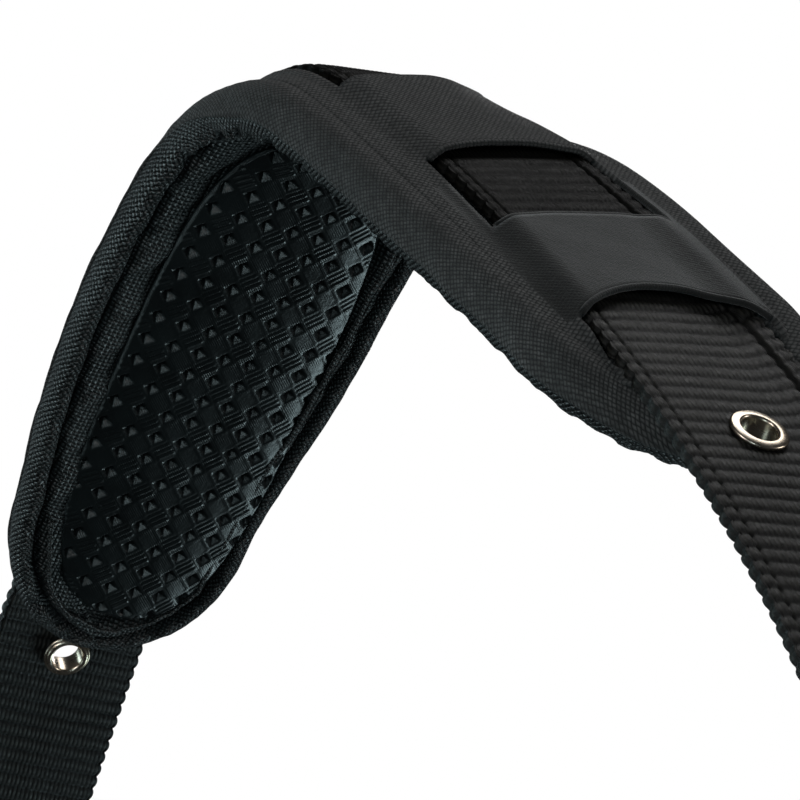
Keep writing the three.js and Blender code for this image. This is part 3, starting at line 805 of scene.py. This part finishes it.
def webbing(name, centre_line, reach, material, phase=0.0):
    """centre_line is (count, 2) of s and n, mm; reach the length along it."""
    centre_line = np.asarray(centre_line, float)
    tangent = np.gradient(centre_line, axis=0)
    tangent /= np.linalg.norm(tangent, axis=1)[:, None]
    if tangent[0, 0] < 0:
        normal = np.stack([tangent[:, 1], -tangent[:, 0]], -1)
    else:
        normal = np.stack([-tangent[:, 1], tangent[:, 0]], -1)
    x, level = webbing_section()
    half_width, half = WEBBING_WIDTH / 2, WEBBING_THICKNESS / 2
    xx = np.broadcast_to(x[None, :] * half_width, (len(reach), len(x)))
    rib = np.abs(np.sin(math.pi * (reach[:, None] + phase + 0.05 * wobble(xx, 31, 3)) / RIB_PITCH))
    yarn = np.abs(np.sin(math.pi * xx / YARN_PITCH))
    # The two faces' ribs, and the scalloped selvedge.
    face = np.abs(level)[None, :] > 0.999
    deep = np.where(level[None, :] > 0, 0.32, 0.48)
    rise = -deep * (1 - rib**0.55) - 0.20 * (1 - yarn**0.8) * rib**0.4
    selvedge = np.exp(-(((np.abs(xx) - 10.4) / 0.28) ** 2)) * (level[None, :] > 0)
    rise = rise - 0.55 * selvedge
    from_edge = half_width - np.abs(xx)
    rise = rise * smooth(from_edge, -0.1, 0.4) - 0.25 * (1 - smooth(from_edge, 0, 0.9))
    height = level[None, :] * half + np.where(face, np.sign(level)[None, :] * rise, 0)
    scallop = -0.55 * (1 - rib**0.6)
    lobes = 0.16 * np.abs(np.cos(math.pi * level))[None, :]
    xx = xx + np.where(face, np.sign(x)[None, :] * scallop * smooth(np.abs(xx), 11.6, 12.5),
                       np.sign(x)[None, :] * (scallop + lobes))
    s = centre_line[:, 0][:, None] + normal[:, 0][:, None] * height
    n = centre_line[:, 1][:, None] + normal[:, 1][:, None] * height
    points = place(s, webbing_centre(s) + xx, n)
    u = np.broadcast_to((reach + phase)[:, None], xx.shape)
    v = np.broadcast_to((x * half_width)[None, :], xx.shape)
    v = np.where(face, v, height + 0.38)
    flat = np.stack([u, v, height], -1)
    return outward(loft(name, points, flat, material))


def crown_lift(s):
    return 0.1 * np.exp(-(((s - FOLD_AT) / 11) ** 2))


def threaded_webbing():
    s = np.linspace(-SPLICE_AT, SPLICE_AT, 400)
    # The strap inside the pad takes the darker copy of the webbing, a painted shade.
    return webbing("threaded_strap", np.stack([s, crown_lift(s)], -1), s, PAINTED_SHADE_WEBBING)


def leg_line(side):
    """Down the leg, round the ring's bar and back up the outer side."""
    loop = side * LOOP_CENTRE + WEBBING_SLIP
    run = abs(loop)
    straight = np.arange(SPLICE_AT, run, 0.36)
    points = [np.stack([straight, np.zeros_like(straight)], -1)]
    angle = np.linspace(-math.pi / 2, math.pi / 2, 34)
    turn = [run + LOOP_RADIUS * np.cos(angle), LOOP_RADIUS * (1 + np.sin(angle))]
    points.append(np.stack(turn, -1))
    t = np.linspace(0, 1, 34)[1:]
    down = 2 * LOOP_RADIUS + (SEWN_RISE - 2 * LOOP_RADIUS) * smooth(t, 0, 1)
    points.append(np.stack([run - 9.5 * t, down], -1))
    back = np.arange(run - 9.8, run - LOOP_LENGTH, -0.36)
    points.append(np.stack([back, np.full_like(back, SEWN_RISE)], -1))
    line = np.concatenate(points)
    steps = np.linalg.norm(np.diff(line, axis=0), axis=1)
    keep = np.concatenate([[True], steps > 0.02])
    line = line[keep]
    reach = np.concatenate([[0], np.cumsum(np.linalg.norm(np.diff(line, axis=0), axis=1))])
    line[:, 0] *= side
    return line, reach


def leg_webbing(name, side):
    line, reach = leg_line(side)
    obj = webbing(name, line, (reach + SPLICE_AT) * side, WEBBING)
    # The eyelet's hole.
    seat = seat_on_webbing(side * EYELET_AT + WEBBING_SLIP)
    bpy.ops.mesh.primitive_cylinder_add(vertices=48, radius=3.05 * MM, depth=8 * MM)
    punch = bpy.context.object
    punch.matrix_world = seat
    bpy.context.view_layer.update()
    cut = obj.modifiers.new("hole", "BOOLEAN")
    cut.operation = "DIFFERENCE"
    cut.object = punch
    cut.solver = "EXACT"
    apply_modifiers(obj)
    bpy.data.objects.remove(punch)
    return obj


def apply_modifiers(obj):
    dg = bpy.context.evaluated_depsgraph_get()
    mesh = bpy.data.meshes.new_from_object(obj.evaluated_get(dg))
    obj.modifiers.clear()
    obj.data = mesh
    return obj


def seat_on_webbing(s, n=0.0):
    centre = place(s, webbing_centre(s), n)
    along = place(s + 1, webbing_centre(s + 1), n) - centre
    across = place(s, webbing_centre(s) + 3, n) - place(s, webbing_centre(s) - 3, n)
    out = np.cross(across, along)
    out /= np.linalg.norm(out)
    across = np.cross(along, out)
    across /= np.linalg.norm(across)
    turn = np.stack([across, np.cross(out, across), out], 1)
    seat = Matrix([list(row) for row in turn]).to_4x4()
    seat.translation = Vector(centre)
    return seat


# ------------------------------------------------------------------ metal
def eyelet(name, side):
    profile = []
    # Rolled flange on the outside, barrel, rolled lip on the inside.
    for angle in np.linspace(-0.35 * math.pi, 0.4 * math.pi, 10):
        profile.append((3.62 + 0.38 * math.cos(angle), 1.25 + 0.34 * math.sin(angle)))
    for angle in np.linspace(0.5 * math.pi, 1.0 * math.pi, 8):
        profile.append((2.85 + 0.4 * math.cos(angle), 1.25 + 0.42 * math.sin(angle)))
    profile += [(2.45, 1.0), (2.45, -1.3)]
    for angle in np.linspace(math.pi, 2.0 * math.pi, 12):
        profile.append((3.0 + 0.5 * math.cos(angle), -1.75 + 0.5 * math.sin(angle)))
    profile += [(3.42, -1.4), (2.95, -1.2), (2.95, 1.05), (3.3, 1.15)]
    return lathe(name, profile, seat_on_webbing(side * EYELET_AT + WEBBING_SLIP), NICKEL)


def eyelet_washer(name, side):
    profile = []
    for angle in np.linspace(-0.5 * math.pi, 0.5 * math.pi, 9):
        profile.append((3.55 + 0.3 * math.cos(angle), -1.5 + 0.32 * math.sin(angle)))
    profile += [(3.05, -1.15), (3.05, -1.7)]
    return lathe(name, profile, seat_on_webbing(side * EYELET_AT + WEBBING_SLIP), NICKEL)


def d_ring(name, side):
    loop = side * LOOP_CENTRE + WEBBING_SLIP
    seat = seat_on_webbing(loop, 3.3)
    bar = seat.to_3x3() @ Vector((1, 0, 0))
    up = (Vector((0, 0, 1)) - bar * bar.z).normalized()
    centre = seat.translation
    t = np.linspace(0, 1, 60)
    half, low = RING_HALF_WIDTH, -RING_DEPTH * 4 / 3      # a Bezier bow reaches 3/4 of its corners
    corner = np.array([[-half, 0], [-half, low], [half, low], [half, 0]])
    weights = np.stack([(1 - t) ** 3, 3 * t * (1 - t) ** 2, 3 * t**2 * (1 - t), t**3], -1)
    bow = weights @ corner
    straight = np.stack([np.linspace(half, -half, 30)[1:-1], np.zeros(28)], -1)
    loop_points = np.vstack([bow, straight])
    for _ in range(2):
        beside = np.roll(loop_points, 1, 0) + np.roll(loop_points, -1, 0)
        loop_points = (beside + 4 * loop_points) / 6
    world = np.array(centre)[None, :] + MM * (
        loop_points[:, :1] * np.array(bar)[None, :] + loop_points[:, 1:] * np.array(up)[None, :])
    return tube(name, world, RING_WIRE_RADIUS * MM, STEEL, closed=True, sides=24)


# ------------------------------------------------------------------ assembly
body = pad_body()
roll = edge_roll()
cover, cover_lines, cover_s = outer_cover()
for piece, nodes, name in (
    (body, ("foam_core", "inner_lining"), "lining"), (roll, ("edge_binding",), "binding"),
    (cover, ("outer_cover", "near_inner_bridge", "far_inner_bridge", "near_end_bridge",
             "far_end_bridge"), "cover"),
):
    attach(piece, "pad")
    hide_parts(*nodes)

for piece, name in cover_trims(cover_lines, cover_s) + [
        (cover_wrap(), "cover"), (binding_edge(), "binding")]:
    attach(piece, "pad")

for half_name, side in (("far", 1), ("near", -1)):
    patch = grip_patch(f"{half_name}_grip", side)
    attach(patch, "pad")
    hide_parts(f"{half_name}_grip_patch")

strap = threaded_webbing()
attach(strap, "pad")
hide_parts("threaded_webbing")

for half_name, side in (("far", 1), ("near", -1)):
    leg = leg_webbing(f"{half_name}_leg_strap", side)
    start = place(side * FLEX_FROM, webbing_centre(side * FLEX_FROM), 0)
    end = place(side * FLEX_TO, webbing_centre(side * FLEX_TO), 0)
    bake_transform(leg)
    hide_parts(f"{half_name}_leg_webbing")
    ring = eyelet(f"{half_name}_eyelet_ring", side)
    washer = eyelet_washer(f"{half_name}_washer_ring", side)
    for piece, node in ((ring, "eyelet"), (washer, "eyelet_washer")):
        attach(piece, f"{half_name}_leg")
        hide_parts(f"{half_name}_{node}")
    link = d_ring(f"{half_name}_d_ring", side)
    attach(link, f"{half_name}_ring_body")
    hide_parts(f"{half_name}_ring")


# ------------------------------------------------------------------ camera, light, floor
def add_camera():
    camera = bpy.data.objects.new("camera", bpy.data.cameras.new("camera"))
    camera.data.lens = 155.08
    camera.data.sensor_width = 36
    camera.location = (-0.23860, -0.41707, -0.14179)
    camera.rotation_euler = [math.radians(a) for a in (102.17, -3.326, -31.386)]
    bpy.context.scene.collection.objects.link(camera)
    bpy.context.scene.camera = camera


def add_light(name, location, target, size, power, color):
    light = bpy.data.lights.new(name, "AREA")
    light.shape = "DISK"
    light.size = size
    light.energy = power
    light.color = color
    obj = bpy.data.objects.new(name, light)
    obj.location = location
    aim = Vector(target) - Vector(location)
    obj.rotation_euler = aim.to_track_quat("-Z", "Y").to_euler()
    bpy.context.scene.collection.objects.link(obj)


def add_world():
    world = bpy.data.worlds.new("studio")
    bpy.context.scene.world = world
    world.use_nodes = True
    nodes, links = world.node_tree.nodes, world.node_tree.links
    background = nodes["Background"]
    seen = nodes.new("ShaderNodeBackground")
    seen.inputs[0].default_value = (1, 1, 1, 1)
    background.inputs[0].default_value = (0.9, 0.95, 1.0, 1)
    background.inputs[1].default_value = 0.035
    path = nodes.new("ShaderNodeLightPath")
    mix = nodes.new("ShaderNodeMixShader")
    links.new(path.outputs["Is Camera Ray"], mix.inputs[0])
    links.new(background.outputs[0], mix.inputs[1])
    links.new(seen.outputs[0], mix.inputs[2])
    links.new(mix.outputs[0], nodes["World Output"].inputs[0])


add_camera()
add_world()
COOL, WHITE = (0.72, 0.95, 1.0), (1, 1, 1)
LAMPS = (
    ("front_left", (-0.80, -1.00, -0.25), (0, 0, -0.05), 0.30, 1.9, COOL),
    ("left", (-1.15, -0.45, 0.20), (0, 0, -0.05), 0.45, 5.0, WHITE),
    ("front_right", (0.90, -0.70, 0.25), (0, 0, -0.05), 0.4, 2.8, WHITE),
    ("top", (0.45, 0.10, 1.15), (0, -0.03, -0.05), 0.6, 4.6, WHITE),
    ("low_right", (0.85, 0.12, -0.70), (0, 0.05, -0.06), 0.35, 3.0, COOL),
    ("back_left", (-0.75, 0.95, 0.10), (0, 0.02, -0.05), 0.5, 4.5, COOL),
    ("back_right", (1.05, 1.15, 0.55), (0, 0.03, -0.05), 0.6, 9.0, WHITE),
    ("low_left", (-0.95, 0.20, -0.55), (0, 0.05, -0.06), 0.4, 0.9, COOL),
)
for lamp in LAMPS:
    add_light(*lamp)
bpy.context.scene.view_settings.view_transform = "Standard"

bpy.ops.mesh.primitive_plane_add(size=6, location=(0, 0, CAD_BOX[0][2] - FLOOR_DROP))
floor = bpy.context.object
floor.name = "floor"
floor.data.materials.append(floor_material())
# The glow is for the camera only, and doesn't light the strap.
floor.visible_diffuse = False
floor.visible_glossy = False
